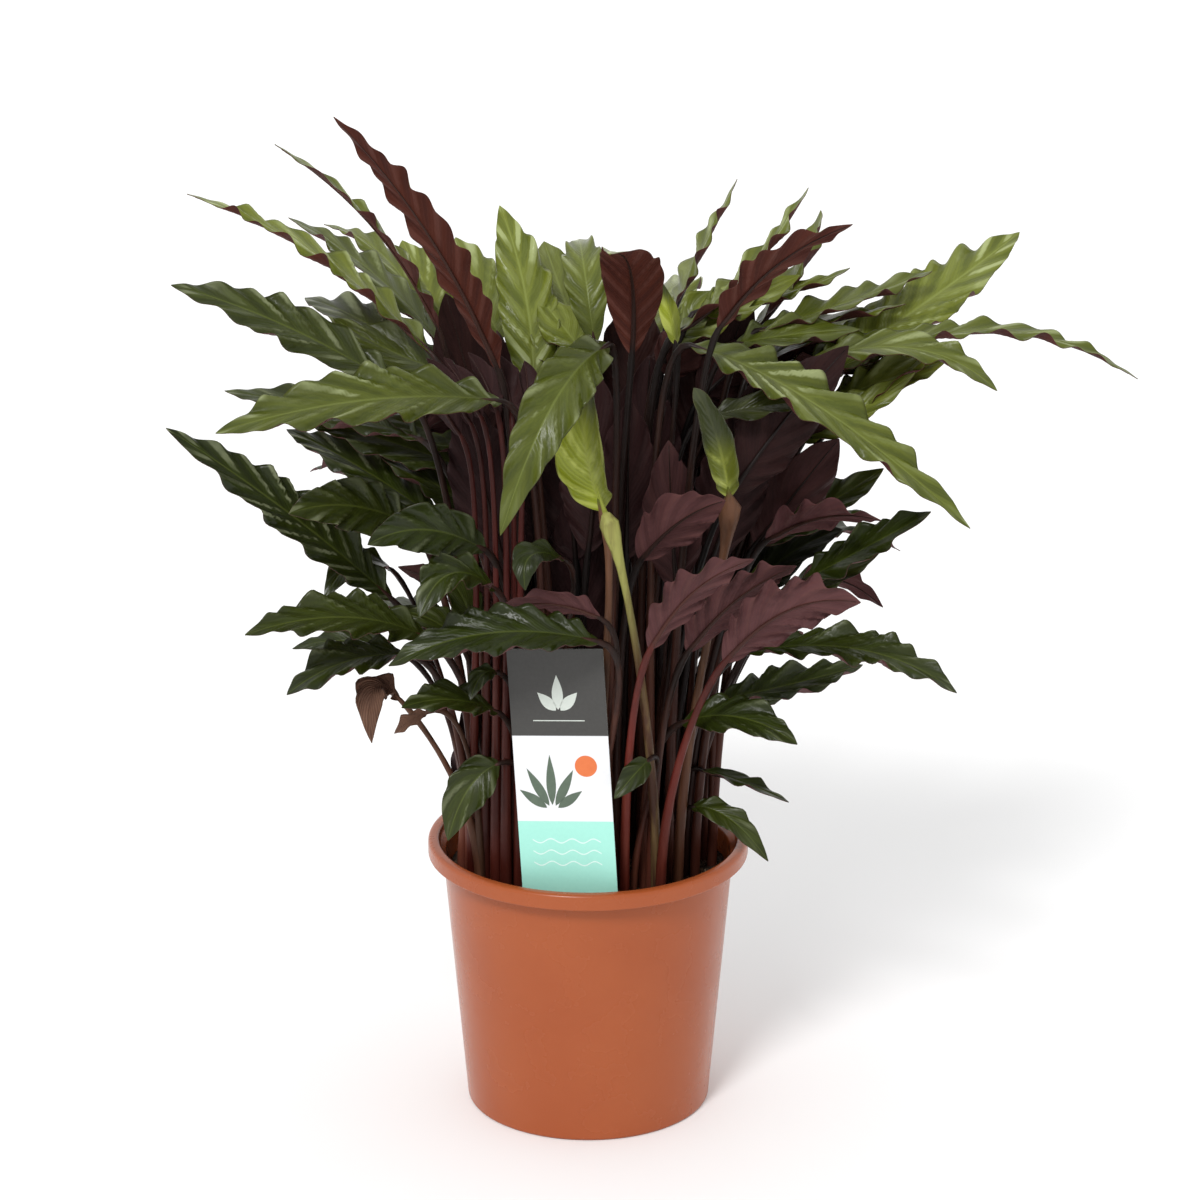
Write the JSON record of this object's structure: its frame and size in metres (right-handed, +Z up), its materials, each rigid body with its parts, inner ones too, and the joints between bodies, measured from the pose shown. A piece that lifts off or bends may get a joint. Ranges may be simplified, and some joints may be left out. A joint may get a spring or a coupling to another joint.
{
  "type": "potted velvet calathea",
  "caption": "Clump of long wavy-edged leaves, green above and maroon below, on thin upright stalks in a round tapered plastic nursery pot filled with soil, with a plain card tag.",
  "frame": {"origin": "centre of the pot's underside", "axes": "+Z up, front with the tag is -Y, +X to the right seen from the front"},
  "size_m": [0.5569, 0.353, 0.6206],
  "materials": {
    "pot": "satin terracotta-coloured plastic",
    "soil": "loose dark potting soil",
    "tag": "printed card with a satin surface",
    "leaf": "velvety, green above and maroon below",
    "young_leaf": "satin yellow-green",
    "dried_leaf": "dull brown"
  },
  "bodies": {
    "root": {"pot": "pot", "soil": "soil", "tag": "tag", "leaf_front_hanging": "leaf", "leaf_right_arching": "leaf", "leaf_left_level": "leaf", "leaf_left_tall": "leaf", "leaf_left_tall_twin": "leaf", "leaf_left_high": "leaf", "leaf_left_high_edge": "leaf", "leaf_left_dark": "leaf", "leaf_left_low_glossy": "leaf", "leaf_left_mid": "leaf", "leaf_left_mid_front": "leaf", "leaf_left_low": "leaf", "leaf_left_under": "leaf", "leaf_front_low_long": "leaf", "leaf_front_left_curled": "leaf", "leaf_left_dried": "dried_leaf", "leaf_front_small": "leaf", "leaf_tag_right": "leaf", "leaf_rim_right": "leaf", "leaf_right_low": "leaf", "leaf_right_lit": "leaf", "leaf_front_right_rising": "leaf", "leaf_front_right_dark": "leaf", "leaf_front_red_stalk": "leaf", "leaf_middle_dark": "leaf", "leaf_right_mid_high": "leaf", "leaf_right_mid_maroon": "leaf", "leaf_right_mid": "leaf", "leaf_right_far": "leaf", "leaf_right_wide": "leaf", "leaf_right_strip": "leaf", "leaf_right_tall": "leaf", "leaf_right_tall_green": "leaf", "leaf_top_right_long": "leaf", "leaf_top_right_narrow": "leaf", "leaf_top_front": "leaf", "leaf_top_face": "leaf", "leaf_top_back": "leaf", "leaf_top_left": "leaf", "leaf_young_middle": "young_leaf", "leaf_young_right": "young_leaf", "leaf_middle_inner": "leaf", "leaf_right_inner": "leaf", "leaf_right_upper_strip": "leaf", "leaf_inner_left": "leaf", "leaf_inner_middle": "leaf", "leaf_inner_right": "leaf", "leaf_inner_right_high": "leaf", "leaf_inner_back_left": "leaf", "leaf_inner_back": "leaf", "leaf_inner_back_right": "leaf", "leaf_back_high_left": "leaf", "leaf_back_high": "leaf", "leaf_back_high_right": "leaf", "leaf_back_right_upper": "leaf", "leaf_back_left_middle": "leaf", "leaf_back_low": "leaf"}
  },
  "joints": []
}
